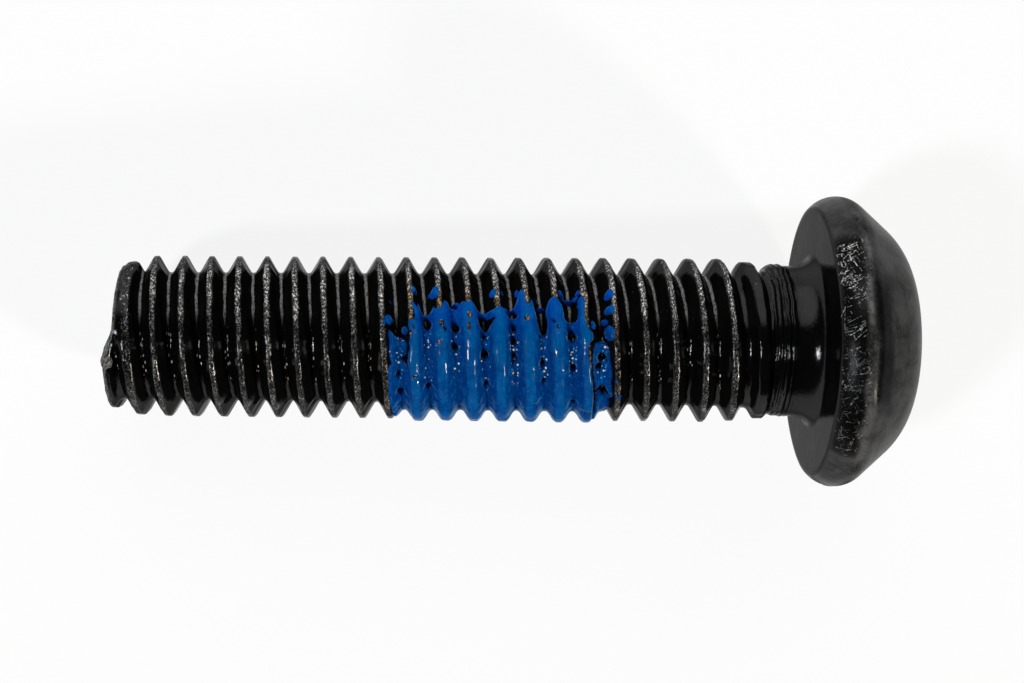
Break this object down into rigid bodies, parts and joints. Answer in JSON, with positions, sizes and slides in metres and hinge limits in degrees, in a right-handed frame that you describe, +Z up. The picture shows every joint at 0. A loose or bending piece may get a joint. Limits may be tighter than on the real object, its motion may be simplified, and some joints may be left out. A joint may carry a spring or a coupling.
{
  "type": "machine screw",
  "caption": "Domed-head socket machine screw with a rolled metric thread and a blue nylon locking patch, lying on its side.",
  "frame": {"origin": "centre of the lying screw's bounding box, on the table", "axes": "+X along the shank toward the head, +Z up, +Y completes the right-handed frame; the screw's own axis rises toward the head by about 5.3 degrees"},
  "size_m": [0.0286, 0.0102, 0.0102],
  "materials": {
    "black_steel": "black oxide, satin, worn bright on the crests and the rim",
    "blue_nylon": "fused nylon, glossy, pitted"
  },
  "bodies": {
    "root": {"screw": "black_steel", "locking_patch": "blue_nylon"}
  },
  "joints": []
}
